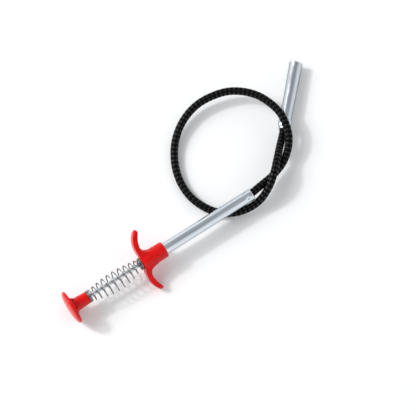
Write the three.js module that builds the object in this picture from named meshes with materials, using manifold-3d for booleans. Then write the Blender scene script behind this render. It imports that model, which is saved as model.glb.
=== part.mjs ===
// Spring drain auger: a push-button grabber. The thumb button pushes a rod and a core wire
// forward through a looped flexible sheath, and the wire pushes four hooked prongs out of
// the tip sleeve, where they spread. A barrel-shaped spring brings the button back.
//
// Millimetres, +Z up. The handle lies along +X with its axis at AXIS_HEIGHT, and the loop
// of sheath and the tip sleeve lie beside it on the plane z = 0.

import * as THREE from 'three';
import { mergeVertices } from 'three/addons/utils/BufferGeometryUtils.js';
import Module from 'manifold-3d';

const wasm = await Module();
wasm.setup();

// ---------------------------------------------------------------- driving dimensions

const GAP = 0.3;                 // clearance between neighbouring pieces
const STROKE = 35;               // full travel of the button

const BUTTON_RADIUS = 14.5;
const BUTTON_CROWN = 2;          // height of the domed thumb face
const BUTTON_FLAT_RADIUS = 4.5;  // flat spot in the middle of the thumb face
const BUTTON_THICKNESS = 2.4;
const HUB_LENGTH = 14.4;
const HUB_RADIUS = 5.7;          // beside the disc
const HUB_END_RADIUS = 5.05;     // beside the spring
const HUB_FILLET = 1.6;
const GUSSET_COUNT = 4;
const GUSSET = [4.6, 8.8, 1.2];    // length along the hub, reach from the axis, thickness

const ROD_RADIUS = 1.6;
const WIRE_RADIUS = 0.8;         // twisted core wire

const SPRING_LENGTH = 52.2;      // from the hub's end to the grip
const SPRING_WIRE_RADIUS = 0.5;
const SPRING_END_RADIUS = 4.3;   // mean coil radius at both ends
const SPRING_MID_RADIUS = 8.1;   // mean coil radius at the belly
const SPRING_TURNS = 11.5;
const SPRING_BELLY_POWER = 1.7;  // how pointed the barrel is
const SPRING_SAG = [-0.7, -2];   // how far the belly hangs, across and down
const WASHER_THICKNESS = 0.8;
const WASHER_RADIUS = 5.4;

const GRIP_LENGTH = 22.4;
const COLLAR_RADIUS = 7.2;       // beside the wings
const COLLAR_END_RADIUS = 7;     // where the tube comes out
const GRIP_WALL = 3;             // wall between the spring and the tube's end
const WING_TIP_RADIUS = 1.7;     // half the thickness of the wing at its tip
const WING_TIP = [5.9, 25.4];    // centre of the tip: along the handle, out from its axis
const WING_PLAN_RADIUS = 4.6;    // round end of the wing, seen along the handle
const WING_ROOT_HALF_WIDTH = 6;
const WING_SKEW = THREE.MathUtils.degToRad(5);

const TUBE_RADIUS = 5;
const TUBE_BORE = 4.15;
const TUBE_OUT = 86.2;           // length of tube in front of the grip
const BUSH_LENGTH = 10;
const FERRULE_RADIUS = 2.6;
const FERRULE_LENGTH = 17;

const SHEATH_RADIUS = 3.3;
const SHEATH_BORE = 2.4;
const CONDUIT_RADIUS = 2;
const CONDUIT_BORE = 1.2;
const SHEATH_SIDES = 12;
const WIRE_SIDES = 8;
const CORD_STEPS = 40;

const SLEEVE_END = [145.4, 34.6, 7];     // centre of the crimped end
const SLEEVE_HEADING = THREE.MathUtils.degToRad(46);
const SLEEVE_LENGTH = 61.3;
const SLEEVE_MOUTH_RADIUS = 5.6;
const SLEEVE_NECK_RADIUS = 5.1;
const SLEEVE_CRIMP_RADIUS = 4.5;
const SLEEVE_WALL = 0.6;
const CRIMP_LENGTH = 8;
const SHEATH_IN_SLEEVE = 12;

const CARRIER_RADIUS = 3.3;
const CARRIER_START = 19;        // distances along the sleeve, from its crimped end
const CARRIER_END = 35.6;
const PRONG_PIVOT = 32.6;
const PRONG_COUNT = 4;
const PRONG_WIRE_RADIUS = 0.5;
const PRONG_OFFSET = 1.5;        // from the sleeve's axis, when closed
const SLOT_WIDTH = 1.6;

// Route of the sheath's centreline: out of the handle tube, round one loop that passes
// under the tube and over itself, and into the tip sleeve.
const ROUTE = [
  [77.6, 0, 14.5], [83.6, 0.2, 14.5], [90.6, 0.8, 14.4], [97.6, 2, 13.4], [105.6, 3.5, 11.3],
  [113.1, 5, 9.5], [120.6, 7.2, 8.8], [128.1, 10.2, 9.1], [135.6, 15.3, 10.4], [141.6, 21.5, 12.4],
  [145.6, 28.5, 14.2], [148.1, 36.5, 15.4], [149.3, 47, 15.8], [147.2, 58.8, 15.5],
  [142.2, 70.5, 14.9], [133.8, 80.5, 14], [123.3, 87.7, 13], [110.6, 91.6, 11.7],
  [97.6, 92.7, 10.1], [85.1, 90.2, 8.4], [73.8, 84.7, 6.8], [63.8, 76.5, 5.4], [56.3, 66.6, 4.3],
  [50.8, 55.2, 3.8], [47.8, 42.5, 3.5], [48, 29.1, 3.5], [52.1, 16.2, 3.7], [59.7, 4.8, 4.2],
  [70.4, -3.1, 5.4], [82.1, -6.8, 7.3], [94.1, -6.8, 10.5], [105.1, -2.7, 14.9], [114.6, 4.2, 17],
  [123.6, 12.9, 15.4], [131.8, 21.2, 11.8], [139.4, 28.6, 8.4], [146.6, 35.8, 7],
  [153.7, 43.2, 6.7],
];

// Stations along the handle, worked out from the lengths above.
const HANDLE_LENGTH = BUTTON_CROWN + BUTTON_THICKNESS + HUB_LENGTH + SPRING_LENGTH
  + GRIP_LENGTH + TUBE_OUT;
const AXIS_HEIGHT = BUTTON_RADIUS;
const FACE_X = -HANDLE_LENGTH / 2;
const RIM_X = FACE_X + BUTTON_CROWN;
const DISC_BACK_X = RIM_X + BUTTON_THICKNESS;
const HUB_END_X = DISC_BACK_X + HUB_LENGTH;
const GRIP_X = HUB_END_X + SPRING_LENGTH;
const COLLAR_END_X = GRIP_X + GRIP_LENGTH;
const TUBE_START_X = GRIP_X + GRIP_WALL + GAP;
const TUBE_END_X = COLLAR_END_X + TUBE_OUT;
const BUSH_START_X = TUBE_START_X + 0.6;
const FERRULE_START_X = BUSH_START_X + BUSH_LENGTH + 0.4;
const ROD_START_X = DISC_BACK_X + 3;
const ROD_END_X = FERRULE_START_X + 6.4;
const ROUTE_START_X = ROUTE[0][0];

// ---------------------------------------------------------------- materials

const redPlastic = [0xc8100c, 0.28, 0];
const zincSteel = [0xc9d2d4, 0.3, 0.9];
const springSteel = [0x8f9798, 0.35, 0.95];
const brightSteel = [0xb9bec0, 0.3, 0.95];
const blackNylon = [0x0b0b0c, 0.32, 0];
const brass = [0xb58a3c, 0.4, 0.85];

// ---------------------------------------------------------------- helpers

// One named mesh with a material of its own.
function piece(name, geometry, [color, roughness, metalness]) {
  const material = new THREE.MeshStandardMaterial({ color, roughness, metalness });
  const mesh = new THREE.Mesh(geometry, material);
  mesh.name = name;
  return mesh;
}

// A body turned about the X axis. The profile is a list of [x, radius] points that starts
// and ends on the axis, or closes on itself when ring is true.
function turned(profile, segments, ring = false) {
  const points = profile.map(([x, radius]) => new THREE.Vector2(radius, x));
  if (ring) points.push(points[0].clone());
  const geometry = new THREE.LatheGeometry(points, segments);
  geometry.rotateZ(-Math.PI / 2);
  return facingOut(geometry);
}

// A plain ring about the X axis.
function ringBetween(start, end, outer, bore, segments) {
  return turned([[start, bore], [start, outer], [end, outer], [end, bore]], segments, true);
}

// Merges the seams of a closed mesh, drops its collapsed triangles and turns it facing out.
function facingOut(source) {
  const bare = source.clone();
  bare.deleteAttribute('normal');
  bare.deleteAttribute('uv');
  const merged = mergeVertices(bare, 1e-5);
  const index = merged.index.array;
  const position = merged.attributes.position;
  const [a, b, c] = [new THREE.Vector3(), new THREE.Vector3(), new THREE.Vector3()];
  const kept = [];
  let volume = 0;
  for (let i = 0; i < index.length; i += 3) {
    const [p, q, r] = [index[i], index[i + 1], index[i + 2]];
    if (p === q || q === r || r === p) continue;
    a.fromBufferAttribute(position, p);
    b.fromBufferAttribute(position, q);
    c.fromBufferAttribute(position, r);
    volume += a.dot(b.cross(c));
    kept.push(p, q, r);
  }
  if (volume < 0) kept.reverse();
  merged.setIndex(kept);
  merged.computeVertexNormals();
  return merged;
}

function toSolid(geometry) {
  const closed = facingOut(geometry);
  const vertProperties = new Float32Array(closed.attributes.position.array);
  const triVerts = new Uint32Array(closed.index.array);
  return new wasm.Manifold(new wasm.Mesh({ numProp: 3, vertProperties, triVerts }));
}

function toGeometry(solid) {
  const mesh = solid.getMesh();
  const geometry = new THREE.BufferGeometry();
  const positions = new THREE.BufferAttribute(new Float32Array(mesh.vertProperties), 3);
  geometry.setAttribute('position', positions);
  geometry.setIndex(Array.from(mesh.triVerts));
  geometry.computeVertexNormals();
  return geometry;
}

// Points of a cubic curve, leaving out its first one.
function cubic(from, control1, control2, to, count) {
  const curve = new THREE.CubicBezierCurve(
    new THREE.Vector2(...from), new THREE.Vector2(...control1),
    new THREE.Vector2(...control2), new THREE.Vector2(...to));
  return curve.getPoints(count).slice(1).map((p) => [p.x, p.y]);
}

// Points of an arc about a centre, both ends included, angles in degrees.
function arc([x, y], radius, from, to, count) {
  const points = [];
  for (let i = 0; i <= count; i += 1) {
    const angle = THREE.MathUtils.degToRad(from + (to - from) * i / count);
    points.push([x + radius * Math.cos(angle), y + radius * Math.sin(angle)]);
  }
  return points;
}

// A round wire or tube along a curve. A bore makes it hollow.
function alongCurve(curve, radius, bore, sides, steps) {
  const section = new THREE.Shape();
  section.absarc(0, 0, radius, 0, 2 * Math.PI, false);
  if (bore > 0) {
    const hole = new THREE.Path();
    hole.absarc(0, 0, bore, 0, 2 * Math.PI, true);
    section.holes.push(hole);
  }
  const settings = { steps, extrudePath: curve, curveSegments: sides / 2, bevelEnabled: false };
  return facingOut(new THREE.ExtrudeGeometry(section, settings));
}

// ---------------------------------------------------------------- thumb button and rod

function thumbButton() {
  const face = cubic([FACE_X, BUTTON_FLAT_RADIUS], [FACE_X + 0.25, 8],
    [RIM_X - 1.3, 12.2], [RIM_X, BUTTON_RADIUS - 0.5], 8);
  const profile = [
    [FACE_X, 0],
    [FACE_X, BUTTON_FLAT_RADIUS],
    ...face,
    [RIM_X + 0.3, BUTTON_RADIUS - 0.12],
    [RIM_X + 0.6, BUTTON_RADIUS],
    [DISC_BACK_X - 0.5, BUTTON_RADIUS],
    [DISC_BACK_X, BUTTON_RADIUS - 0.5],
    ...arc([DISC_BACK_X + HUB_FILLET, HUB_RADIUS + HUB_FILLET], HUB_FILLET, 180, 270, 5),
    [HUB_END_X - 0.5, HUB_END_RADIUS],
    [HUB_END_X, HUB_END_RADIUS - 0.4],
    [HUB_END_X, ROD_RADIUS + GAP],
    [ROD_START_X - GAP, ROD_RADIUS + GAP],
    [ROD_START_X - GAP, 0],
  ];
  let body = toSolid(turned(profile, 40));
  for (let i = 0; i < GUSSET_COUNT; i += 1) {
    const gusset = hubGusset();
    gusset.rotateX(2 * Math.PI * (i + 0.5) / GUSSET_COUNT);
    body = body.add(toSolid(gusset));
  }
  return toGeometry(body);
}

// Small three-cornered rib that stiffens the corner between the disc and the hub.
function hubGusset() {
  const [length, reach, thickness] = GUSSET;
  const root = HUB_END_RADIUS - 1;
  const outline = new THREE.Shape();
  outline.moveTo(DISC_BACK_X - 0.5, root);
  outline.lineTo(DISC_BACK_X - 0.5, reach);
  outline.lineTo(DISC_BACK_X + 0.3, reach);
  outline.lineTo(DISC_BACK_X + length, HUB_END_RADIUS);
  outline.lineTo(DISC_BACK_X + length, root);
  outline.closePath();
  const rib = new THREE.ExtrudeGeometry(outline, { depth: thickness, bevelEnabled: false });
  rib.translate(0, 0, -thickness / 2);
  return rib;
}

function plungerRod() {
  const chamfer = 0.4;
  return turned([
    [ROD_START_X, 0],
    [ROD_START_X, ROD_RADIUS - chamfer],
    [ROD_START_X + chamfer, ROD_RADIUS],
    [ROD_END_X - chamfer, ROD_RADIUS],
    [ROD_END_X, ROD_RADIUS - chamfer],
    [ROD_END_X, 0],
  ], 20);
}

// Ferrule that joins the rod to the core wire and stops the rod against the bush.
function rodFerrule() {
  const end = FERRULE_START_X + FERRULE_LENGTH;
  const web = [ROD_END_X + GAP, ROD_END_X + 2.5];
  return turned([
    [web[0], 0],
    [web[0], ROD_RADIUS + GAP],
    [FERRULE_START_X, ROD_RADIUS + GAP],
    [FERRULE_START_X, FERRULE_RADIUS],
    [end - 1, FERRULE_RADIUS],
    [end, FERRULE_RADIUS - 0.8],
    [end, WIRE_RADIUS + GAP],
    [web[1], WIRE_RADIUS + GAP],
    [web[1], 0],
  ], 20);
}

function wireBetween(start, end) {
  return turned([[start, 0], [start, WIRE_RADIUS], [end, WIRE_RADIUS], [end, 0]], 10);
}

// ---------------------------------------------------------------- spring

// Barrel helix with closed end coils, whose belly hangs a little under its own weight.
class BarrelHelix extends THREE.Curve {
  constructor(start, end) {
    super();
    this.start = start;
    this.end = end;
  }

  getPoint(t, target = new THREE.Vector3()) {
    const belly = Math.sin(Math.PI * t);
    const fullness = belly ** SPRING_BELLY_POWER;
    const radius = THREE.MathUtils.lerp(SPRING_END_RADIUS, SPRING_MID_RADIUS, fullness);
    const angle = 2 * Math.PI * SPRING_TURNS * t;
    const closed = 0.075;
    const opened = THREE.MathUtils.clamp((t - closed) / (1 - 2 * closed), 0, 1);
    const along = 0.045 * t + 0.955 * (opened - 0.018 * Math.sin(2 * Math.PI * opened));
    return target.set(
      THREE.MathUtils.lerp(this.start, this.end, along),
      radius * Math.cos(angle) + SPRING_SAG[0] * belly * belly,
      radius * Math.sin(angle) + SPRING_SAG[1] * belly * belly);
  }
}

function returnSpring() {
  const inset = GAP + WASHER_THICKNESS + GAP + SPRING_WIRE_RADIUS;
  const helix = new BarrelHelix(HUB_END_X + inset, GRIP_X - inset);
  helix.arcLengthDivisions = 1500;
  return alongCurve(helix, SPRING_WIRE_RADIUS, 0, 6, Math.round(SPRING_TURNS * 12));
}

// ---------------------------------------------------------------- finger grip

// The wings' section along the handle, revolved: a shallow bowl that opens forward.
function wingBowl() {
  const [tipX, tipR] = WING_TIP;
  const lean = 52;
  const tip = arc([tipX, tipR], WING_TIP_RADIUS, lean + 90, lean - 90, 5);
  const profile = [
    [0.9, 5],
    ...cubic([0.9, 5], [-2.1, 11.5], [-1.5, 20.2], tip[0], 9),
    ...tip.slice(1),
    ...cubic(tip[5], [4.9, 20.6], [3.5, 17.2], [3.5, 13.2], 5),
    ...cubic([3.5, 13.2], [3.7, 9.6], [6.5, 8], [12.5, COLLAR_RADIUS - 0.15], 7),
    [12.5, 5.6],
  ];
  return turned(profile, 44, true);
}

// Outline of both wings seen along the handle: wide at the collar, round at the tips.
function wingPlan() {
  const reach = WING_TIP[1] + WING_TIP_RADIUS - WING_PLAN_RADIUS;
  const outline = new THREE.Shape();
  outline.moveTo(reach, -WING_PLAN_RADIUS);
  outline.absarc(reach, 0, WING_PLAN_RADIUS, -Math.PI / 2, Math.PI / 2, false);
  outline.quadraticCurveTo(13, 4.9, 0, WING_ROOT_HALF_WIDTH);
  outline.quadraticCurveTo(-13, 4.9, -reach, WING_PLAN_RADIUS);
  outline.absarc(-reach, 0, WING_PLAN_RADIUS, Math.PI / 2, 1.5 * Math.PI, false);
  outline.quadraticCurveTo(-13, -4.9, 0, -WING_ROOT_HALF_WIDTH);
  outline.quadraticCurveTo(13, -4.9, reach, -WING_PLAN_RADIUS);
  const depth = 40;
  const block = new THREE.ExtrudeGeometry(outline,
    { depth, bevelEnabled: false, curveSegments: 8 });
  block.rotateX(Math.PI / 2);
  block.rotateZ(Math.PI / 2);
  block.translate(-depth / 2, 0, 0);
  return block;
}

function collar() {
  return turned([
    [0, 0],
    [0, 5.4],
    [0.7, 6.3],
    ...cubic([0.7, 6.3], [3, COLLAR_RADIUS + 0.1], [8, COLLAR_RADIUS + 0.1],
      [12, COLLAR_RADIUS], 4),
    [GRIP_LENGTH - 0.7, COLLAR_END_RADIUS],
    [GRIP_LENGTH, COLLAR_END_RADIUS - 0.7],
    [GRIP_LENGTH, 0],
  ], 40);
}

function fingerGrip() {
  const bowl = wingBowl();
  bowl.translate(-WING_TIP[0], 0, 0);
  bowl.rotateZ(-WING_SKEW);
  bowl.translate(WING_TIP[0], 0, 0);
  const wings = toSolid(bowl).intersect(toSolid(wingPlan()));
  const tubeSocket = turned([
    [GRIP_WALL, 0],
    [GRIP_WALL, TUBE_RADIUS + GAP],
    [GRIP_LENGTH + 1, TUBE_RADIUS + GAP],
    [GRIP_LENGTH + 1, 0],
  ], 40);
  const rodHole = turned([
    [-3, 0],
    [-3, ROD_RADIUS + GAP],
    [GRIP_WALL + 1, ROD_RADIUS + GAP],
    [GRIP_WALL + 1, 0],
  ], 20);
  const body = wings.add(toSolid(collar()))
    .subtract(toSolid(tubeSocket))
    .subtract(toSolid(rodHole));
  return toGeometry(body);
}

// ---------------------------------------------------------------- handle tube

function handleTube() {
  const lip = 0.85;
  return turned([
    [TUBE_START_X, TUBE_BORE],
    [TUBE_START_X, TUBE_RADIUS],
    [TUBE_END_X - 2.4, TUBE_RADIUS],
    ...arc([TUBE_END_X - lip, TUBE_RADIUS - lip], lip, 90, 10, 4),
    [TUBE_END_X, TUBE_BORE],
  ], 40, true);
}

// ---------------------------------------------------------------- flexible sheath

function cordCurve() {
  const points = ROUTE.map((point) => new THREE.Vector3(...point));
  const curve = new THREE.CatmullRomCurve3(points, false, 'catmullrom', 0.5);
  curve.arcLengthDivisions = 800;
  return curve;
}

function addCord(group) {
  const curve = cordCurve();
  const sheath = alongCurve(curve, SHEATH_RADIUS, SHEATH_BORE, SHEATH_SIDES, CORD_STEPS);
  const conduit = alongCurve(curve, CONDUIT_RADIUS, CONDUIT_BORE, WIRE_SIDES, CORD_STEPS);
  const wire = alongCurve(curve, WIRE_RADIUS, 0, WIRE_SIDES, CORD_STEPS);
  group.add(piece('braided_sheath', sheath, blackNylon));
  group.add(piece('conduit_liner', conduit, springSteel));
  group.add(piece('core_wire_middle', wire, brightSteel));
}

// ---------------------------------------------------------------- tip sleeve and claw

function sleeveBoreAt(distance) {
  const from = CRIMP_LENGTH + 1.5;
  const share = (distance - from) / (SLEEVE_LENGTH - from);
  return THREE.MathUtils.lerp(SLEEVE_NECK_RADIUS, SLEEVE_MOUTH_RADIUS, share) - SLEEVE_WALL;
}

function tipSleeve() {
  const shoulder = CRIMP_LENGTH + 1.5;
  const crimpBore = SHEATH_RADIUS + 0.5;
  return turned([
    [0, crimpBore],
    [0, SLEEVE_CRIMP_RADIUS - 0.4],
    [0.5, SLEEVE_CRIMP_RADIUS],
    [CRIMP_LENGTH - 0.5, SLEEVE_CRIMP_RADIUS],
    [shoulder, SLEEVE_NECK_RADIUS],
    [SLEEVE_LENGTH - 0.3, SLEEVE_MOUTH_RADIUS],
    [SLEEVE_LENGTH, SLEEVE_MOUTH_RADIUS - 0.2],
    [SLEEVE_LENGTH, sleeveBoreAt(SLEEVE_LENGTH)],
    [shoulder, sleeveBoreAt(shoulder)],
    [CRIMP_LENGTH - 0.5, crimpBore],
  ], 40, true);
}

// Head that carries the prongs, with one slot for each prong to swing in.
function clawCarrier() {
  const wireDepth = 4;
  let body = toSolid(turned([
    [CARRIER_START + wireDepth, 0],
    [CARRIER_START + wireDepth, WIRE_RADIUS + GAP],
    [CARRIER_START, WIRE_RADIUS + GAP],
    [CARRIER_START, CARRIER_RADIUS - 1],
    [CARRIER_START + 2, CARRIER_RADIUS],
    [CARRIER_END - 0.6, CARRIER_RADIUS],
    [CARRIER_END, CARRIER_RADIUS - 0.6],
    [CARRIER_END, 0],
  ], 32));
  const floor = PRONG_OFFSET - PRONG_WIRE_RADIUS - GAP;
  const slotStart = PRONG_PIVOT - 0.8;
  for (let i = 0; i < PRONG_COUNT; i += 1) {
    const slot = new THREE.BoxGeometry(CARRIER_END - slotStart + 1, 4, SLOT_WIDTH);
    slot.translate((CARRIER_END + 1 + slotStart) / 2, floor + 2, 0);
    slot.rotateX(prongAngle(i));
    body = body.subtract(toSolid(slot));
  }
  return toGeometry(body);
}

function prongAngle(index) {
  return 2 * Math.PI * (index + 0.5) / PRONG_COUNT;
}

// A sprung wire prong, bowed outward, with its point hooked back in.
function prong(index) {
  const side = [
    [-0.3, PRONG_OFFSET], [4, PRONG_OFFSET], [9, PRONG_OFFSET], [14, 1.6], [18.5, 1.9],
    [22.2, 2.35], [24.6, 2.6], [26.1, 2.35], [26.9, 1.7], [27.1, 1],
  ];
  const points = side.map(([x, r]) => new THREE.Vector3(PRONG_PIVOT + x, r, 0));
  const curve = new THREE.CatmullRomCurve3(points, false, 'centripetal');
  const geometry = alongCurve(curve, PRONG_WIRE_RADIUS, 0, 6, 20);
  geometry.rotateX(prongAngle(index));
  return geometry;
}

function addTip(group) {
  const guideStart = SHEATH_IN_SLEEVE + 0.5;
  const guideEnd = guideStart + 5;
  const guideRadius = sleeveBoreAt(guideStart) - GAP;
  const wireStart = SHEATH_IN_SLEEVE + 0.5;
  const guide = ringBetween(guideStart, guideEnd, guideRadius, WIRE_RADIUS + GAP, 24);
  group.add(piece('tip_sleeve', tipSleeve(), zincSteel));
  group.add(piece('tip_guide_bush', guide, brass));
  group.add(piece('core_wire_front', wireBetween(wireStart, CARRIER_START + 3.6), brightSteel));
  group.add(piece('claw_carrier', clawCarrier(), brightSteel));
  for (let i = 0; i < PRONG_COUNT; i += 1) {
    group.add(piece(`prong_${i + 1}`, prong(i), springSteel));
  }
}

// ---------------------------------------------------------------- assembly

function addHandle(group) {
  const bushEnd = BUSH_START_X + BUSH_LENGTH;
  const wireEnd = ROUTE_START_X - STROKE - 0.5;
  const washerBore = ROD_RADIUS + GAP;
  const rearWasher = HUB_END_X + GAP;
  const frontWasher = GRIP_X - GAP - WASHER_THICKNESS;
  group.add(piece('thumb_button', thumbButton(), redPlastic));
  group.add(piece('plunger_rod', plungerRod(), brightSteel));
  group.add(piece('spring_washer_rear', ringBetween(rearWasher, rearWasher + WASHER_THICKNESS,
    WASHER_RADIUS, washerBore, 28), springSteel));
  group.add(piece('return_spring', returnSpring(), springSteel));
  group.add(piece('spring_washer_front', ringBetween(frontWasher, frontWasher + WASHER_THICKNESS,
    WASHER_RADIUS, washerBore, 28), springSteel));
  group.add(piece('handle_tube', handleTube(), zincSteel));
  group.add(piece('rod_guide_bush', ringBetween(BUSH_START_X, bushEnd,
    TUBE_BORE - GAP, washerBore, 28), brass));
  group.add(piece('rod_ferrule', rodFerrule(), brass));
  group.add(piece('core_wire_rear', wireBetween(ROD_END_X + 2.8, wireEnd), brightSteel));
}

// The grip is rolled about the handle's axis until one wing tip rests on the plane z = 0.
function addGrip(group) {
  const reach = WING_TIP[1] + WING_TIP_RADIUS - WING_PLAN_RADIUS;
  const grip = piece('finger_grip', fingerGrip(), redPlastic);
  grip.rotation.x = Math.asin((AXIS_HEIGHT - WING_PLAN_RADIUS) / reach);
  grip.position.x = GRIP_X;
  group.add(grip);
}

const auger = new THREE.Group();

const handle = new THREE.Group();
handle.position.z = AXIS_HEIGHT;
addHandle(handle);
addGrip(handle);
auger.add(handle);

addCord(auger);

const tip = new THREE.Group();
tip.position.set(...SLEEVE_END);
const tilt = Math.asin((SLEEVE_MOUTH_RADIUS - SLEEVE_END[2]) / SLEEVE_LENGTH);
tip.rotation.set(0, -tilt, SLEEVE_HEADING, 'ZYX');
addTip(tip);
auger.add(tip);

export default auger;
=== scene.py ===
import math

import bmesh
import bpy
from mathutils import Matrix, Vector


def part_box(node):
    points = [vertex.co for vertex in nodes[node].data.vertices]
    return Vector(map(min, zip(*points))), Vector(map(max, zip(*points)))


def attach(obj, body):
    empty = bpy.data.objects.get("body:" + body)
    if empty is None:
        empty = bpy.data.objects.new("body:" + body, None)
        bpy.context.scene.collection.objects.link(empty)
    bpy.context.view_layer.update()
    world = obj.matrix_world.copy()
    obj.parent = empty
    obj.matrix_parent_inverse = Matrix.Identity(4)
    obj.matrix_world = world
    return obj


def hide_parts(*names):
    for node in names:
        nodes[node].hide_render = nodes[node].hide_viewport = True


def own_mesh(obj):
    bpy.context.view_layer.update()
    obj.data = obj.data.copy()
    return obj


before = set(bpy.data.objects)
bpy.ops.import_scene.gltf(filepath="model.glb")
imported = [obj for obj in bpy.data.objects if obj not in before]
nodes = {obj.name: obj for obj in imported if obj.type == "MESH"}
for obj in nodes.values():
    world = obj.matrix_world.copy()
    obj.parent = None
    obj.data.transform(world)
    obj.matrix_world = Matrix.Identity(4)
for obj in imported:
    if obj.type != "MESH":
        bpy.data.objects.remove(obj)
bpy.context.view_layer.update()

# The spring drain auger, dressed piece by piece. Lengths are millimetres in the model's
# own frame until a mesh is made, when MM turns them into metres.

MM = 0.001
TURN = 2 * math.pi
scene = bpy.context.scene


def station(node, side, axis=0):
    """A CAD node's lowest (side 0) or highest (side 1) coordinate, in millimetres."""
    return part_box(node)[side][axis] / MM


# ---------------------------------------------------------------- sizes and places

AXIS_HEIGHT = (station("thumb_button", 0, 2) + station("thumb_button", 1, 2)) / 2
FACE_X = station("thumb_button", 0)
HUB_END_X = station("thumb_button", 1)
BUTTON_RADIUS = (station("thumb_button", 1, 1) - station("thumb_button", 0, 1)) / 2
ROD_START_X = station("plunger_rod", 0)
ROD_END_X = station("plunger_rod", 1)
GRIP_X = station("spring_washer_front", 1) + 0.3
COLLAR_END_X = station("finger_grip", 1)
TUBE_START_X = station("handle_tube", 0)
TUBE_END_X = station("handle_tube", 1)

DISC_CROWN = 2.0
DISC_THICKNESS = 2.4
RIM_X = FACE_X + DISC_CROWN
DISC_BACK_X = RIM_X + DISC_THICKNESS
HUB_RADIUS = 5.7
HUB_END_RADIUS = 5.05
HUB_FILLET = 1.6
GUSSET_COUNT = 4
GUSSET_LENGTH = 4.6
GUSSET_REACH = 8.8
GUSSET_HALF_WIDTH = 0.6
GUSSET_BEVEL = 0.12
ROD_RADIUS = 1.6
TUBE_RADIUS = 5.0
TUBE_BORE = 4.15

WASHER_RADIUS = 5.4
WASHER_BORE = ROD_RADIUS + 0.3
SPRING_WIRE = 0.5
SPRING_CLEARANCE = 0.3
SPRING_END_RADIUS = 4.3
SPRING_MID_RADIUS = 8.1
SPRING_TURNS = 11.5
SPRING_BELLY_POWER = 1.7
SPRING_SAG = (-0.7, -2.0)
SPRING_END_COILS = 0.075    # share of the turns that lies closed at each end
SPRING_END_RISE = 0.045     # share of the length that all turns climb evenly
SPRING_UNEVENNESS = 0.018

GRIP_LENGTH = COLLAR_END_X - GRIP_X
COLLAR_END_RADIUS = 7.0
COLLAR_BEVEL = 0.7
WING_TIP_X, WING_TIP_R = 5.9, 25.4
WING_TIP_RADIUS = 1.7
WING_PLAN_RADIUS = 4.6
WING_ROOT_HALF_WIDTH = 6.0
WING_SKEW = math.radians(5)
WING_WAIST = (13, 4.9)
WING_REACH = WING_TIP_R + WING_TIP_RADIUS - WING_PLAN_RADIUS
GRIP_ROLL = math.asin((AXIS_HEIGHT - WING_PLAN_RADIUS) / WING_REACH)

SLEEVE_END = Vector((145.4, 34.6, 7.0))
SLEEVE_HEADING = math.radians(46)
SLEEVE_LENGTH = 61.3
MOUTH_RADIUS = 5.6
NECK_RADIUS = 5.1
SLEEVE_WALL = 0.6
CRIMP_BORE = 3.42
PRONG_COUNT = 4
PRONG_PIVOT = 32.6
PRONG_OFFSET = 1.5
PRONG_WIRE = 0.5

# The cord's centreline, the same points as its CAD solid.
ROUTE = [
    (77.6, 0, 14.5), (83.6, 0.2, 14.5), (90.6, 0.8, 14.4), (97.6, 2, 13.4), (105.6, 3.5, 11.3),
    (113.1, 5, 9.5), (120.6, 7.2, 8.8), (128.1, 10.2, 9.1), (135.6, 15.3, 10.4),
    (141.6, 21.5, 12.4), (145.6, 28.5, 14.2), (148.1, 36.5, 15.4), (149.3, 47, 15.8),
    (147.2, 58.8, 15.5), (142.2, 70.5, 14.9), (133.8, 80.5, 14), (123.3, 87.7, 13),
    (110.6, 91.6, 11.7), (97.6, 92.7, 10.1), (85.1, 90.2, 8.4), (73.8, 84.7, 6.8),
    (63.8, 76.5, 5.4), (56.3, 66.6, 4.3), (50.8, 55.2, 3.8), (47.8, 42.5, 3.5), (48, 29.1, 3.5),
    (52.1, 16.2, 3.7), (59.7, 4.8, 4.2), (70.4, -3.1, 5.4), (82.1, -6.8, 7.3), (94.1, -6.8, 10.5),
    (105.1, -2.7, 14.9), (114.6, 4.2, 17), (123.6, 12.9, 15.4), (131.8, 21.2, 11.8),
    (139.4, 28.6, 8.4), (146.6, 35.8, 7), (153.7, 43.2, 6.7),
]


# ---------------------------------------------------------------- camera, floor and light

IMAGE_SIDE = 416
FOCAL_PIXELS = 2000
SENSOR_WIDTH = 36.0
CAMERA_ELEVATION = math.radians(72)
CAMERA_HEADING = math.radians(33.43)
CAMERA_DISTANCE = 1.67
LOOK_AT = Vector((55.4, 13.8, 0)) * MM

away = Vector((math.sin(CAMERA_HEADING), math.cos(CAMERA_HEADING), 0))
right = Vector((math.cos(CAMERA_HEADING), -math.sin(CAMERA_HEADING), 0))
up = Vector((0, 0, 1))


def add_camera():
    """A long lens that looks down at the loop from over the handle's side."""
    look = math.cos(CAMERA_ELEVATION) * away - math.sin(CAMERA_ELEVATION) * up
    data = bpy.data.cameras.new("camera")
    data.sensor_width = SENSOR_WIDTH
    data.lens = SENSOR_WIDTH * FOCAL_PIXELS / IMAGE_SIDE
    data.clip_start, data.clip_end = 0.05, 20
    camera = bpy.data.objects.new("camera", data)
    camera.location = LOOK_AT - CAMERA_DISTANCE * look
    camera.rotation_mode = "QUATERNION"
    camera.rotation_quaternion = look.to_track_quat("-Z", "Y")
    scene.collection.objects.link(camera)
    scene.camera = camera


def add_area_light(name, toward, distance, size, power):
    """A square light, seen from the middle of the view in the direction toward."""
    data = bpy.data.lights.new(name, "AREA")
    data.shape = "SQUARE"
    data.size = size
    data.energy = power
    lamp = bpy.data.objects.new(name, data)
    lamp.location = LOOK_AT + toward.normalized() * distance
    lamp.rotation_mode = "QUATERNION"
    lamp.rotation_quaternion = (-toward).to_track_quat("-Z", "Y")
    scene.collection.objects.link(lamp)


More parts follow.
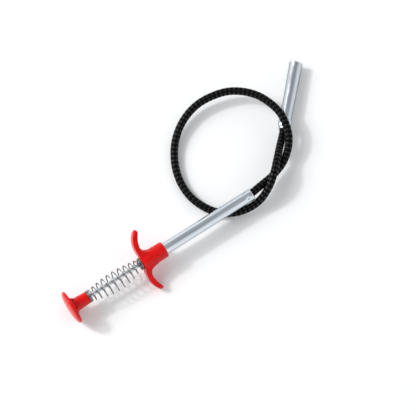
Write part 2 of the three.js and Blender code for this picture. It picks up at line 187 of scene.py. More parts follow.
def add_world():
    """A pale studio: bright walls and a greyer ceiling."""
    world = bpy.data.worlds.new("studio")
    world.use_nodes = True
    tree = world.node_tree
    background = tree.nodes["Background"]
    place = tree.nodes.new("ShaderNodeTexCoord")
    split = tree.nodes.new("ShaderNodeSeparateXYZ")
    ramp = tree.nodes.new("ShaderNodeValToRGB")
    tree.links.new(place.outputs["Generated"], split.inputs[0])
    tree.links.new(split.outputs["Z"], ramp.inputs["Fac"])
    tree.links.new(ramp.outputs["Color"], background.inputs["Color"])
    stops = ramp.color_ramp.elements
    stops[0].position, stops[0].color = 0.5, (0.97, 0.99, 1.0, 1)
    stops[1].position, stops[1].color = 0.78, (0.47, 0.48, 0.49, 1)
    zenith = stops.new(1.0)
    zenith.color = (0.38, 0.39, 0.40, 1)
    background.inputs["Strength"].default_value = 1.04
    scene.world = world


def add_floor():
    """Plain matt paper, just under the lowest point of the tool."""
    bpy.ops.mesh.primitive_plane_add(size=8, location=(0, 0, -0.00005))
    floor = bpy.context.object
    floor.name = "floor"
    material = bpy.data.materials.new("floor_paper")
    material.use_nodes = True
    shader = material.node_tree.nodes["Principled BSDF"]
    shader.inputs["Base Color"].default_value = (0.9, 0.9, 0.9, 1)
    shader.inputs["Roughness"].default_value = 0.9
    shader.inputs["Specular IOR Level"].default_value = 0.1
    floor.data.materials.append(material)


KEY_ELEVATION = math.radians(42)
KEY_DISTANCE = 2.5
key = math.cos(KEY_ELEVATION) * (-0.96 * right + 0.27 * away) + math.sin(KEY_ELEVATION) * up

add_camera()
add_world()
add_floor()
add_area_light("softbox", key, KEY_DISTANCE, size=1.5, power=30)
add_area_light("lamp", key, KEY_DISTANCE, size=0.24, power=19)
scene.view_settings.view_transform = "Standard"


# ---------------------------------------------------------------- mesh helpers

def skin(rings, loop=False, caps=True):
    """Points and faces of the surface through rings of equally many points."""
    count = len(rings[0])
    points = [p for ring in rings for p in ring]
    faces = []
    spans = len(rings) if loop else len(rings) - 1
    for i in range(spans):
        a, b = i * count, (i + 1) % len(rings) * count
        for j in range(count):
            k = (j + 1) % count
            faces.append((a + j, a + k, b + k, b + j))
    if caps and not loop:
        faces.append(tuple(range(count - 1, -1, -1)))
        faces.append(tuple(range(len(points) - count, len(points))))
    return points, faces


def joined(parts):
    """One list of points and faces out of several."""
    points, faces = [], []
    for more_points, more_faces in parts:
        start = len(points)
        points.extend(more_points)
        faces.extend(tuple(start + i for i in face) for face in more_faces)
    return points, faces


def clean_up(mesh, merge):
    """Merge doubled points and turn every face outward."""
    clean = bmesh.new()
    clean.from_mesh(mesh)
    bmesh.ops.remove_doubles(clean, verts=clean.verts, dist=merge)
    bmesh.ops.recalc_face_normals(clean, faces=clean.faces)
    clean.to_mesh(mesh)
    clean.free()


def add_piece(name, shape, material, body, replaced, sharp=35):
    """A finished piece from points in millimetres and faces."""
    points, faces = shape
    mesh = bpy.data.meshes.new(name)
    mesh.from_pydata([Vector(p) * MM for p in points], [], faces)
    return finish_piece(name, mesh, material, body, replaced, sharp)


def finish_piece(name, mesh, material, body, replaced, sharp):
    """Shade the mesh, give it its material, link it under its body and hide the CAD nodes it
    replaces.
    """
    clean_up(mesh, 1e-7)
    for face in mesh.polygons:
        face.use_smooth = True
    mesh.set_sharp_from_angle(angle=math.radians(sharp))
    mesh.materials.clear()
    mesh.materials.append(material)
    piece = bpy.data.objects.new(name, mesh)
    scene.collection.objects.link(piece)
    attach(piece, body)
    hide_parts(*replaced)
    return piece


def rounded(profile, radius, steps=4, closed=False):
    """The outline with each clear corner turned into a short curve."""
    flat = [Vector(p) for p in profile]
    result = []
    for i, corner in enumerate(flat):
        if not closed and i in (0, len(flat) - 1):
            result.append(corner)
            continue
        before = flat[i - 1] - corner
        after = flat[(i + 1) % len(flat)] - corner
        doubled = before.length == 0 or after.length == 0
        if doubled or before.angle(after) > math.radians(160):
            result.append(corner)
            continue
        cut = min(radius, 0.45 * before.length, 0.45 * after.length)
        start = corner + before.normalized() * cut
        end = corner + after.normalized() * cut
        for step in range(steps + 1):
            t = step / steps
            result.append((1 - t) ** 2 * start + 2 * t * (1 - t) * corner + t * t * end)
    return result


def arc(centre, radius, start, end, count):
    """Points of an arc, angles in degrees."""
    angles = [math.radians(start + (end - start) * i / count) for i in range(count + 1)]
    return [(centre[0] + radius * math.cos(a), centre[1] + radius * math.sin(a)) for a in angles]


def cubic(start, control1, control2, end, count):
    """Points of a cubic curve, leaving out its first one."""
    s, c, d, e = (Vector(p) for p in (start, control1, control2, end))
    result = []
    for i in range(1, count + 1):
        t = i / count
        u = 1 - t
        result.append(u ** 3 * s + 3 * u * u * t * c + 3 * u * t * t * d + t ** 3 * e)
    return result


def quadratic(start, bend, end, count):
    """Points of a curve with one bend, leaving out its first one."""
    result = []
    for i in range(1, count + 1):
        t = i / count
        result.append(tuple(
            (1 - t) ** 2 * a + 2 * t * (1 - t) * b + t * t * c for a, b, c in zip(start, bend, end)))
    return result


def circle(x, radius, segments):
    """A ring of points about the X axis."""
    radius = max(radius, 1e-6)
    return [
        Vector((x, radius * math.cos(TURN * k / segments), radius * math.sin(TURN * k / segments)))
        for k in range(segments)
    ]


def turned(profile, segments=96, loop=False):
    """A body turned about the X axis from a list of (x, radius) points."""
    return skin([circle(x, r, segments) for x, r in profile], loop=loop, caps=not loop)


def moved(shape, matrix):
    """The shape with its points transformed."""
    points, faces = shape
    return [matrix @ Vector(p) for p in points], faces


def frames_along(points):
    """A tangent and two cross directions at each point, turning as little as possible."""
    tangents = []
    last = len(points) - 1
    for i in range(len(points)):
        tangents.append((points[min(i + 1, last)] - points[max(i - 1, 0)]).normalized())
    side = tangents[0].orthogonal().normalized()
    result = []
    for tangent in tangents:
        side = (side - side.dot(tangent) * tangent).normalized()
        result.append((tangent, side, tangent.cross(side)))
    return result


def wire(points, radius, sides=12):
    """A round wire through the points; radius is a number or a function of the share done."""
    rings = []
    for i, (centre, (_, side, other)) in enumerate(zip(points, frames_along(points))):
        size = radius(i / (len(points) - 1)) if callable(radius) else radius
        rings.append([
            centre + size * (math.cos(TURN * k / sides) * side + math.sin(TURN * k / sides) * other)
            for k in range(sides)
        ])
    return skin(rings)


def catmull_rom(controls, per_span):
    """A uniform Catmull-Rom curve whose ends are extrapolated."""
    controls = [Vector(p) for p in controls]
    padded = [2 * controls[0] - controls[1], *controls, 2 * controls[-1] - controls[-2]]
    result = []
    for i in range(1, len(padded) - 2):
        p0, p1, p2, p3 = padded[i - 1:i + 3]
        start, end = (p2 - p0) / 2, (p3 - p1) / 2
        for step in range(per_span):
            t = step / per_span
            result.append(
                (2 * t ** 3 - 3 * t * t + 1) * p1 + (t ** 3 - 2 * t * t + t) * start
                + (3 * t * t - 2 * t ** 3) * p2 + (t ** 3 - t * t) * end)
    result.append(controls[-1])
    return result


def smooth_step(value, start, end):
    """0 before start, 1 after end, and a smooth climb between them."""
    t = min(max((value - start) / (end - start), 0), 1)
    return t * t * (3 - 2 * t)


def evenly(points, step):
    """The same line with points about one step apart."""
    lengths = [0.0]
    for a, b in zip(points, points[1:]):
        lengths.append(lengths[-1] + (b - a).length)
    count = round(lengths[-1] / step)
    result = []
    k = 0
    for i in range(count + 1):
        goal = lengths[-1] * i / count
        while k < len(points) - 2 and lengths[k + 1] < goal:
            k += 1
        share = (goal - lengths[k]) / (lengths[k + 1] - lengths[k])
        result.append(points[k].lerp(points[k + 1], min(share, 1)))
    return result, lengths[-1]


# ---------------------------------------------------------------- materials

class Surface:
    """A Principled material and the nodes that vary it over the surface."""

    def __init__(self, name, metallic=0.0, **settings):
        self.material = bpy.data.materials.new(name)
        self.material.use_nodes = True
        self.tree = self.material.node_tree
        self.shader = self.tree.nodes["Principled BSDF"]
        self.shader.inputs["Metallic"].default_value = metallic
        for socket, value in settings.items():
            self.shader.inputs[socket.replace("_", " ")].default_value = value
        self.height = None

    def node(self, kind, **settings):
        """A new node with its properties set."""
        made = self.tree.nodes.new(kind)
        for key_name, value in settings.items():
            setattr(made, key_name, value)
        return made

    def place(self, heading=0.0, tilt=0.0, stretch=(1, 1, 1)):
        """Object coordinates turned so that X runs along a direction, then stretched."""
        source = self.node("ShaderNodeTexCoord")
        mapping = self.node("ShaderNodeMapping", vector_type="TEXTURE")
        mapping.inputs["Rotation"].default_value = (0, tilt, heading)
        mapping.inputs["Scale"].default_value = stretch
        self.tree.links.new(source.outputs["Object"], mapping.inputs["Vector"])
        return mapping.outputs["Vector"]

    def noise(self, vector, scale, detail=4.0, roughness=0.6):
        """Noise at a place, from 0 to 1."""
        made = self.node("ShaderNodeTexNoise")
        made.inputs["Scale"].default_value = scale
        made.inputs["Detail"].default_value = detail
        made.inputs["Roughness"].default_value = roughness
        self.tree.links.new(vector, made.inputs["Vector"])
        return made.outputs["Fac"]

    def ranged(self, value, low, high, start=0.3, end=0.7):
        """The value from start to end spread over low to high."""
        made = self.node("ShaderNodeMapRange")
        limits = {"From Min": start, "From Max": end, "To Min": low, "To Max": high}
        for socket, number in limits.items():
            made.inputs[socket].default_value = number
        self.tree.links.new(value, made.inputs["Value"])
        return made.outputs["Result"]

    def colors(self, value, *stops):
        """Base colour from a value, through two or more (position, colour) stops."""
        ramp = self.node("ShaderNodeValToRGB")
        elements = ramp.color_ramp.elements
        for position, color in stops[2:]:
            elements.new(position)
        for element, (position, color) in zip(sorted(elements, key=lambda e: e.position), stops):
            element.position = position
            element.color = (*color, 1)
        self.tree.links.new(value, ramp.inputs["Fac"])
        self.tree.links.new(ramp.outputs["Color"], self.shader.inputs["Base Color"])

    def to(self, value, socket):
        """Link a value to one of the shader's inputs."""
        self.tree.links.new(value, self.shader.inputs[socket])

    def bump(self, value, strength, distance):
        """Add relief on top of what is there."""
        made = self.node("ShaderNodeBump")
        made.inputs["Strength"].default_value = strength
        made.inputs["Distance"].default_value = distance
        self.tree.links.new(value, made.inputs["Height"])
        if self.height is not None:
            self.tree.links.new(self.height, made.inputs["Normal"])
        self.height = made.outputs["Normal"]
        self.tree.links.new(self.height, self.shader.inputs["Normal"])


def red_plastic():
    """Glossy moulded plastic: slightly uneven pigment, soft waviness and fine handling marks."""
    surface = Surface("red_moulded_plastic", IOR=1.45, Specular_IOR_Level=0.3)
    place = surface.place()
    cloud = surface.noise(place, 120, 3)
    surface.colors(cloud, (0.3, (0.56, 0.0015, 0.001)), (0.7, (0.66, 0.003, 0.002)))
    surface.to(surface.ranged(surface.noise(place, 900, 6), 0.17, 0.30), "Roughness")
    surface.bump(surface.noise(place, 160, 2), 0.12, 0.0003)
    surface.bump(surface.noise(surface.place(0.6, 0, (1, 0.08, 0.08)), 2200, 5), 0.05, 0.0001)
    return surface.material


def zinc(name, heading=0.0, tilt=0.0, shade=1.0, rings=0.05):
    """Bright zinc plating over drawn tube, with streaks along it and faint rings round it."""
    surface = Surface(name, metallic=1.0, Anisotropic=0.35, Specular_Tint=(0.25, 0.29, 0.33, 1))
    along = surface.place(heading, tilt, (1, 0.02, 0.02))
    streaks = surface.noise(along, 24, 6, 0.7)
    cloud = surface.noise(surface.place(), 60, 4)
    tones = ((0.3, (0.56, 0.62, 0.67)), (0.55, (0.74, 0.79, 0.83)), (0.75, (0.84, 0.88, 0.91)))
    surface.colors(streaks, *((at, tuple(shade * c for c in tone)) for at, tone in tones))
    surface.to(surface.ranged(cloud, 0.15, 0.27), "Roughness")
    surface.bump(streaks, 0.10, 0.0002)
    surface.bump(surface.noise(surface.place(heading, tilt, (0.03, 1, 1)), 45, 4), rings, 0.0002)
    return surface.material


def spring_steel():
    """Drawn spring wire with a thin dark oil film in patches."""
    surface = Surface("spring_wire", metallic=1.0, Specular_Tint=(0.3, 0.32, 0.34, 1))
    place = surface.place()
    film = surface.noise(place, 260, 5)
    surface.colors(film, (0.3, (0.13, 0.14, 0.15)), (0.7, (0.42, 0.44, 0.45)))
    surface.to(surface.ranged(surface.noise(place, 1500, 3), 0.2, 0.38), "Roughness")
    surface.bump(surface.noise(place, 4000, 3), 0.1, 0.00005)
    return surface.material


def bright_steel():
    """Bright drawn rod with lengthwise draw lines."""
    surface = Surface("bright_rod", metallic=1.0, Anisotropic=0.3, Specular_Tint=(0.4, 0.42, 0.45, 1))
    along = surface.place(0, 0, (1, 0.01, 0.01))
    lines = surface.noise(along, 18, 5)
    surface.colors(lines, (0.3, (0.52, 0.54, 0.56)), (0.7, (0.76, 0.78, 0.8)))
    surface.to(surface.ranged(lines, 0.16, 0.3), "Roughness")
    surface.bump(lines, 0.08, 0.0001)
    return surface.material


def brass():
    """Turned brass with faint tool rings."""
    surface = Surface("turned_brass", metallic=1.0)
    rings = surface.noise(surface.place(0, 0, (0.01, 1, 1)), 30, 4)
    surface.colors(rings, (0.3, (0.52, 0.36, 0.13)), (0.7, (0.72, 0.54, 0.24)))
    surface.to(surface.ranged(rings, 0.25, 0.4), "Roughness")
    surface.bump(rings, 0.1, 0.0001)
    return surface.material


def black_braid():
    """Black yarns with polished crowns; filament lines run along each one, by its UV map."""
    surface = Surface("black_braid_yarn", IOR=1.08, Coat_IOR=1.4, Coat_Roughness=0.06)
    crown = surface.node("ShaderNodeAttribute", attribute_name="crown_gloss").outputs["Fac"]
    place = surface.node("ShaderNodeUVMap", uv_map="along_yarn")
    lines = surface.node("ShaderNodeTexWave", wave_type="BANDS", bands_direction="Y")
    lines.inputs["Scale"].default_value = 1.6
    lines.inputs["Distortion"].default_value = 1.2
    lines.inputs["Detail"].default_value = 2
    surface.tree.links.new(place.outputs["UV"], lines.inputs["Vector"])
    cloud = surface.noise(surface.place(), 500, 4)
    surface.colors(cloud, (0.3, (0.001, 0.001, 0.0012)), (0.7, (0.003, 0.003, 0.0035)))
    surface.to(surface.ranged(crown, 0.45, 0.2, 0, 1), "Roughness")
    surface.to(surface.ranged(crown, 0.0, 1.0, 0, 1), "Coat Weight")
    surface.bump(lines.outputs["Fac"], 0.05, 0.00002)
    return surface.material


RED = red_plastic()
ZINC = zinc("zinc_tube")
SLEEVE_TILT = math.asin((SLEEVE_END.z - MOUTH_RADIUS) / SLEEVE_LENGTH)
ZINC_SLEEVE = zinc("zinc_sleeve", SLEEVE_HEADING, SLEEVE_TILT, 0.82, 0.25)
SPRING = spring_steel()
BRIGHT = bright_steel()
BRASS = brass()
BRAID = black_braid()


# ---------------------------------------------------------------- cord

BRAID_STARTS = 8            # yarns of each hand
BRAID_LAY = 30.8            # length in which a yarn goes round once
BRAID_RADIUS = 2.98
BRAID_RISE = 0.17           # how far a yarn rides above and below the middle
YARN_HALF_WIDTH = 0.99
YARN_SECTION = [            # share of the half width, height
    (-1, -0.08), (-0.9, 0.07), (-0.5, 0.12), (0, 0.14),
    (0.5, 0.12), (0.9, 0.07), (1, -0.08), (0, -0.12),
]
CORE_STEP = 4               # rings of a yarn to each ring of the core
STEPS_PER_CROWN = 8

line, cord_length = evenly(catmull_rom(ROUTE, 40), BRAID_LAY / BRAID_STARTS / STEPS_PER_CROWN)
line_frames = frames_along(line)
line_step = cord_length / (len(line) - 1)


def yarn(hand, index):
    """One flat yarn that winds round the cord and weaves over and under the other hand."""
    lean = math.atan(hand * TURN * BRAID_RADIUS / BRAID_LAY)
    rings = []
    for i, (centre, (tangent, side, other)) in enumerate(zip(line, line_frames)):
        s = i * line_step
        angle = TURN * (hand * s / BRAID_LAY + index / BRAID_STARTS)
        outward = math.cos(angle) * side + math.sin(angle) * other
        around = math.cos(angle) * other - math.sin(angle) * side
        across = math.cos(lean) * around - math.sin(lean) * tangent
        wave = TURN * BRAID_STARTS * s / BRAID_LAY
        rise = BRAID_RADIUS + hand * BRAID_RISE * (1.1 * math.cos(wave) - 0.1 * math.cos(3 * wave))
        middle = centre + rise * outward
        rings.append([middle + YARN_HALF_WIDTH * w * across + h * outward for w, h in YARN_SECTION])
    return skin(rings)


def add_cord():
    """The braid over its core, with the crowns of one hand marked as polished."""
    parts = [yarn(hand, index) for hand in (1, -1) for index in range(BRAID_STARTS)]
    core = wire(line[::CORE_STEP], BRAID_RADIUS - BRAID_RISE - 0.12, 20)
    cord = add_piece("cord_braid", joined([*parts, core]), BRAID, "root",
                     ["braided_sheath"], sharp=180)
    layer = cord.data.uv_layers.new(name="along_yarn")
    gloss = cord.data.attributes.new("crown_gloss", "FLOAT", "POINT")
    section = len(YARN_SECTION)
    for index, value in enumerate(gloss.data):
        strand, ring = divmod(index // section, len(line))
        wave = TURN * BRAID_STARTS * ring * line_step / BRAID_LAY
        polished = strand < BRAID_STARTS
        value.value = smooth_step(math.cos(wave), 0.0, 0.7) if polished else 0.1
    for loop in cord.data.loops:
        ring, place = divmod(loop.vertex_index, section)
        layer.data[loop.index].uv = (ring * line_step * 0.25, place)
    return cord


cord = add_cord()


# ---------------------------------------------------------------- thumb button and rod

HANDLE = Matrix.Translation((0, 0, AXIS_HEIGHT))


def add_handle_piece(name, shape, material, body, replaced):
    """A piece drawn about the X axis, lifted to the handle's axis."""
    return add_piece(name, moved(shape, HANDLE), material, body, replaced)


def hub_gusset():
    """A small three-cornered rib in the corner between the disc and the hub."""
    foot, end = DISC_BACK_X - 0.5, DISC_BACK_X + GUSSET_LENGTH
    outline = rounded([
        (foot, HUB_END_RADIUS - 1),
        (foot, GUSSET_REACH),
        (DISC_BACK_X + 0.3, GUSSET_REACH),
        (end, HUB_END_RADIUS),
        (end, HUB_END_RADIUS - 1),
    ], 0.3, closed=True)
    centre = Vector((DISC_BACK_X + 1, HUB_END_RADIUS + 0.5))
    rings = []
    half, bevel = GUSSET_HALF_WIDTH, GUSSET_BEVEL
    for side, inset in ((-half, bevel), (-half + bevel, 0), (half - bevel, 0), (half, bevel)):
        flat = [p + (centre - p).normalized() * inset for p in outline]
        rings.append([Vector((p.x, p.y, side)) for p in flat])
    return skin(rings)


def add_thumb_button():
    """Domed disc, filleted hub with a hole for the rod, and the ribs between them."""
    face = cubic(
        (FACE_X, 4.5), (FACE_X + 0.25, 8), (RIM_X - 1.3, 12.2), (RIM_X, BUTTON_RADIUS - 0.5), 24)
    hub = rounded([
        (DISC_BACK_X + HUB_FILLET, HUB_RADIUS),
        (HUB_END_X, HUB_END_RADIUS),
        (HUB_END_X, ROD_RADIUS + 0.1),
        (ROD_START_X, ROD_RADIUS + 0.1),
        (ROD_START_X, 0),
    ], 0.5)
    profile = [
        (FACE_X, 0), (FACE_X, 1.5), (FACE_X, 3), (FACE_X, 4.5), *face,
        *arc((RIM_X + 0.6, BUTTON_RADIUS - 0.6), 0.6, 135, 90, 4),
        *arc((DISC_BACK_X - 0.5, BUTTON_RADIUS - 0.5), 0.5, 90, 0, 5),
        *arc((DISC_BACK_X + HUB_FILLET, HUB_RADIUS + HUB_FILLET), HUB_FILLET, 180, 270, 10),
        *hub[1:],
    ]
    ribs = [
        moved(hub_gusset(), Matrix.Rotation(TURN * (i + 0.5) / GUSSET_COUNT, 4, "X"))
        for i in range(GUSSET_COUNT)
    ]
    add_handle_piece("thumb_button_moulding", joined([turned(profile, 128), *ribs]), RED,
                     "plunger", ["thumb_button"])


def add_rod():
    """The plunger rod, with rounded ends."""
    profile = rounded([(ROD_START_X, 0), (ROD_START_X, ROD_RADIUS), (ROD_END_X, ROD_RADIUS),
                       (ROD_END_X, 0)], 0.4)
    add_handle_piece("rod_shaft", turned(profile, 48), BRIGHT, "plunger",
                     ["plunger_rod"])


def add_washer(node, body):
    """A flat washer with rounded edges, where its CAD node is."""
    start, end = station(node, 0), station(node, 1)
    profile = rounded([
        (start, WASHER_BORE), (start, WASHER_RADIUS), (end, WASHER_RADIUS), (end, WASHER_BORE),
    ], 0.22, closed=True)
    add_handle_piece(node + "_plated", turned(profile, 64, loop=True), SPRING, body,
                     [node])


def spring_point(t, start, end):
    """A point of the barrel spring's wire, at share t of its turns."""
    belly = math.sin(math.pi * t)
    swell = max(belly, 0) ** SPRING_BELLY_POWER
    radius = SPRING_END_RADIUS + (SPRING_MID_RADIUS - SPRING_END_RADIUS) * swell
    angle = TURN * SPRING_TURNS * t
    opened = min(max((t - SPRING_END_COILS) / (1 - 2 * SPRING_END_COILS), 0), 1)
    climb = opened - SPRING_UNEVENNESS * math.sin(TURN * opened)
    along = SPRING_END_RISE * t + (1 - SPRING_END_RISE) * climb
    return Vector((
        start + (end - start) * along,
        radius * math.cos(angle) + SPRING_SAG[0] * belly * belly,
        radius * math.sin(angle) + SPRING_SAG[1] * belly * belly,
    ))


def add_spring():
    """The barrel spring between the two washers, on a mesh of its own."""
    start = station("spring_washer_rear", 1) + SPRING_CLEARANCE + SPRING_WIRE
    end = station("spring_washer_front", 0) - SPRING_CLEARANCE - SPRING_WIRE
    steps = round(SPRING_TURNS * 56)
    points = [spring_point(i / steps, start, end) for i in range(steps + 1)]
    spring = add_handle_piece("spring_coils", wire(points, SPRING_WIRE, 12), SPRING, "root",
                              ["return_spring"])
    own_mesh(spring)


add_thumb_button()
add_rod()
add_washer("spring_washer_rear", "plunger")
add_washer("spring_washer_front", "root")
add_spring()


# ---------------------------------------------------------------- finger grip

GRIP_VOXEL = 0.28


def temporary(name, shape):
    """A helper object in millimetres, removed once the grip's mesh is made."""
    points, faces = shape
    mesh = bpy.data.meshes.new(name)
    mesh.from_pydata(points, [], faces)
    clean_up(mesh, 1e-4)
    made = bpy.data.objects.new(name, mesh)
    scene.collection.objects.link(made)
    return made


def combine(base, other, operation):
    """Add one boolean step to the base."""
    cut = base.modifiers.new(operation, "BOOLEAN")
    cut.operation = operation
    cut.solver = "EXACT"
    cut.object = other


def wing_bowl():
    """The wings' section revolved: a shallow bowl that opens forward."""
    tip = arc((WING_TIP_X, WING_TIP_R), WING_TIP_RADIUS, 142, -38, 12)
    profile = [
        (0.9, 5), *cubic((0.9, 5), (-2.1, 11.5), (-1.5, 20.2), tip[0], 24), *tip[1:],
        *cubic(tip[-1], (4.9, 20.6), (3.5, 17.2), (3.5, 13.2), 16),
        *cubic((3.5, 13.2), (3.7, 9.6), (6.5, 8), (12.5, 7.05), 18),
        (12.5, 5.6),
    ]
    about_tip = Matrix.Translation((WING_TIP_X, 0, 0))
    skew = about_tip @ Matrix.Rotation(-WING_SKEW, 4, "Z") @ about_tip.inverted()
    return moved(turned(profile, 160, loop=True), skew)


def wing_plan():
    """Both wings' outline seen along the handle, as a prism."""
    root = (0, WING_ROOT_HALF_WIDTH)
    waist, waist_width = WING_WAIST
    half = [
        *arc((WING_REACH, 0), WING_PLAN_RADIUS, -90, 90, 20),
        *quadratic((WING_REACH, WING_PLAN_RADIUS), (waist, waist_width), root, 12),
        *quadratic(root, (-waist, waist_width), (-WING_REACH, WING_PLAN_RADIUS), 12)[:-1],
    ]
    outline = half + [(-x, -y) for x, y in half]
    return skin([[Vector((x, u, v)) for u, v in outline] for x in (-20, 20)])


def add_grip():
    """Bowl cut to the wings' outline, joined to the collar, bored for tube and rod."""
    collar = turned([
        (0, 0), (0, 5.4), (COLLAR_BEVEL, 6.3),
        *cubic((COLLAR_BEVEL, 6.3), (3, 7.3), (8, 7.3), (12, 7.2), 10),
        (GRIP_LENGTH - COLLAR_BEVEL, COLLAR_END_RADIUS),
        (GRIP_LENGTH, COLLAR_END_RADIUS - COLLAR_BEVEL),
        (GRIP_LENGTH, 0),
    ], 128)
    tube_fit, rod_fit = TUBE_RADIUS + 0.08, ROD_RADIUS + 0.4
    socket = turned([(3, 0), (3, tube_fit), (GRIP_LENGTH + 1, tube_fit), (GRIP_LENGTH + 1, 0)], 96)
    hole = turned([(-3, 0), (-3, rod_fit), (4, rod_fit), (4, 0)], 48)
    base = temporary("grip_wings", wing_bowl())
    tools = [temporary("grip_plan", wing_plan()), temporary("grip_collar", collar),
             temporary("grip_socket", socket), temporary("grip_hole", hole)]
    for tool, operation in zip(tools, ("INTERSECT", "UNION", "DIFFERENCE", "DIFFERENCE")):
        combine(base, tool, operation)
    remesh = base.modifiers.new("remesh", "REMESH")
    remesh.mode = "VOXEL"
    remesh.voxel_size = GRIP_VOXEL
    smooth = base.modifiers.new("smooth", "SMOOTH")
    smooth.factor, smooth.iterations = 0.5, 6
    evaluated = base.evaluated_get(bpy.context.evaluated_depsgraph_get())
    mesh = bpy.data.meshes.new_from_object(evaluated)
    for made in (base, *tools):
        bpy.data.objects.remove(made)
    place = (Matrix.Scale(MM, 4) @ Matrix.Translation((GRIP_X, 0, AXIS_HEIGHT))
             @ Matrix.Rotation(GRIP_ROLL, 4, "X"))
    mesh.transform(place)
    finish_piece("finger_grip_moulding", mesh, RED, "root", ["finger_grip"],
                 sharp=180)


add_grip()


# ---------------------------------------------------------------- handle tube

DIMPLE_X = TUBE_END_X - 5
DIMPLE_ANGLES = [math.radians(a) for a in (35, 125, 215, 305)]
DIMPLE_DEPTH = 0.85
DIMPLE_RADIUS = 1.35
TUBE_LIP = 0.85             # radius of the rolled end
FINE_STEP = 0.25            # ring spacing where the marks are


def dimple_depth(x, angle, radius):
    """How far the punched crimp marks push the tube's end in at a point."""
    depth = 0.0
    for mark in DIMPLE_ANGLES:
        turn = math.remainder(angle - mark, TURN)
        distance = math.hypot(x - DIMPLE_X, turn * radius)
        depth += DIMPLE_DEPTH * math.exp(-(distance / DIMPLE_RADIUS) ** 2)
    return depth


def dimpled_ring(x, radius, depth_share=1.0, segments=144):
    """A ring of the tube with the crimp marks pressed in."""
    ring = []
    for k, point in enumerate(circle(x, radius, segments)):
        depth = depth_share * dimple_depth(x, TURN * k / segments, radius)
        share = (radius - depth) / radius
        ring.append(Vector((x, point.y * share, point.z * share)))
    return ring


def add_tube():
    """The handle tube, rolled in at its front end and crimped there on the sheath."""
    end = TUBE_END_X - TUBE_LIP
    marked = DIMPLE_X - 4
    stations = [TUBE_START_X, COLLAR_END_X, 20, 40, 60, marked - 1]
    stations += [marked + FINE_STEP * i for i in range(round((end - marked) / FINE_STEP))]
    rim = arc((end, TUBE_RADIUS - TUBE_LIP), TUBE_LIP, 90, 0, 8)
    rings = [dimpled_ring(x, TUBE_RADIUS) for x in stations]
    rings += [dimpled_ring(x, r) for x, r in rim]
    rings += [dimpled_ring(x, TUBE_BORE, 0.5) for x in reversed(stations) if x < TUBE_END_X - 1.2]
    add_handle_piece("handle_tube_plated", skin(rings, loop=True), ZINC, "root",
                     ["handle_tube"])


add_tube()


# ---------------------------------------------------------------- tip sleeve and claw

SLEEVE = (Matrix.Translation(SLEEVE_END) @ Matrix.Rotation(SLEEVE_HEADING, 4, "Z")
          @ Matrix.Rotation(SLEEVE_TILT, 4, "Y"))


def sleeve_half_sizes(s):
    """Half width and half height of the sleeve's outside at a distance from its crimped end."""
    plain = NECK_RADIUS + (MOUTH_RADIUS - NECK_RADIUS) * smooth_step(s, 9, SLEEVE_LENGTH * 1.1)
    flare = 0.25 * smooth_step(s, SLEEVE_LENGTH - 3, SLEEVE_LENGTH)
    crimp = 1 - smooth_step(s, 7.4, 10.5)
    groove = 0.3 * math.exp(-((s - 9.6) / 0.5) ** 2)
    nose = smooth_step(s, 0.0, 5.0)
    width = plain + crimp * (4.4 + 1.25 * nose - plain) + flare - groove
    height = plain + crimp * (4.2 - plain) + flare - groove
    return width, height


def oval(s, width, height, press=0.0, segments=144):
    """A ring of the sleeve at a distance from its crimped end, pressed in at six places."""
    ring = []
    for k in range(segments):
        angle = TURN * k / segments
        dent = press * (0.5 + 0.5 * math.cos(6 * angle))
        ring.append(Vector((s, (width - dent) * math.cos(angle), (height - dent) * math.sin(angle))))
    return ring


def sleeve_outside(s, inset=0.0):
    """An outside ring of the sleeve, with the band of crimp marks near its end."""
    width, height = sleeve_half_sizes(s)
    band = 0.35 * math.exp(-((s - 3.0) / 0.8) ** 2)
    return oval(s, width - inset, height - inset, band)


def sleeve_inside(s):
    """An inside ring: the sheath's size in the crimp, and one wall thinner past it."""
    width, height = sleeve_half_sizes(s)
    crimp = 1 - smooth_step(s, 9.0, 12.0)
    return oval(s, (width - SLEEVE_WALL) * (1 - crimp) + CRIMP_BORE * crimp,
                (height - SLEEVE_WALL) * (1 - crimp) + CRIMP_BORE * crimp)


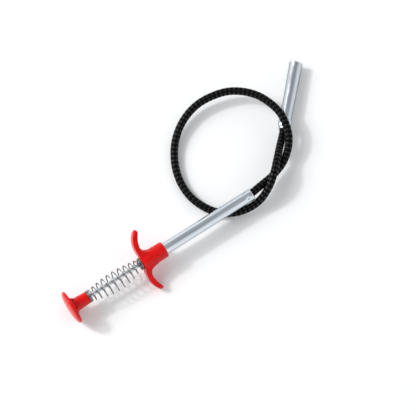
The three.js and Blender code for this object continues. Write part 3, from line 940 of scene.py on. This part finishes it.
def add_sleeve():
    """The tip sleeve, crimped flat on the sheath at one end and open at the other."""
    stations = [FINE_STEP * i for i in range(60)] + [15 + 2 * i for i in range(22)]
    stations += [59, 60, 60.6, 61.0]
    lip = ((SLEEVE_LENGTH - 0.1, 0.08), (SLEEVE_LENGTH, 0.2), (SLEEVE_LENGTH, 0.45),
           (SLEEVE_LENGTH - 0.15, SLEEVE_WALL))
    rings = [sleeve_outside(s) for s in stations]
    rings += [sleeve_outside(s, inset) for s, inset in lip]
    rings += [sleeve_inside(s) for s in reversed(stations) if s < 60.9]
    return add_piece("tip_sleeve_plated", moved(skin(rings, loop=True), SLEEVE), ZINC_SLEEVE,
                     "root", ["tip_sleeve"])


def prong_radius(t):
    """The wire's radius, which tapers to a point over the last of its length."""
    return PRONG_WIRE * (1 - 0.45 * smooth_step(t, 0.93, 1))


def add_prongs():
    """Four wires with hooked points, folded together inside the sleeve."""
    side = [(-0.3, PRONG_OFFSET), (4, PRONG_OFFSET), (9, PRONG_OFFSET), (14, 1.6), (18.5, 1.9),
            (22.2, 2.35), (24.6, 2.6), (26.1, 2.35), (26.9, 1.7), (27.1, 1)]
    points = [Vector((PRONG_PIVOT + x, r, 0)) for x, r in side]
    fine, _ = evenly(catmull_rom(points, 12), 0.3)
    straight = wire(fine, prong_radius, 14)
    made = []
    for index in range(PRONG_COUNT):
        turn = Matrix.Rotation(TURN * (index + 0.5) / PRONG_COUNT, 4, "X")
        made.append(add_piece(
            f"prong_wire_{index + 1}", moved(straight, SLEEVE @ turn), SPRING,
            f"hook_{index + 1}", [f"prong_{index + 1}"]))
    return made


sleeve = add_sleeve()
prongs = add_prongs()


# ---------------------------------------------------------------- CAD nodes that stay

for node, material in (
    ("rod_guide_bush", BRASS), ("rod_ferrule", BRASS), ("tip_guide_bush", BRASS),
    ("core_wire_rear", BRIGHT), ("core_wire_middle", BRIGHT), ("core_wire_front", BRIGHT),
    ("conduit_liner", SPRING), ("claw_carrier", BRIGHT),
):
    for slot in nodes[node].material_slots:
        slot.material = material
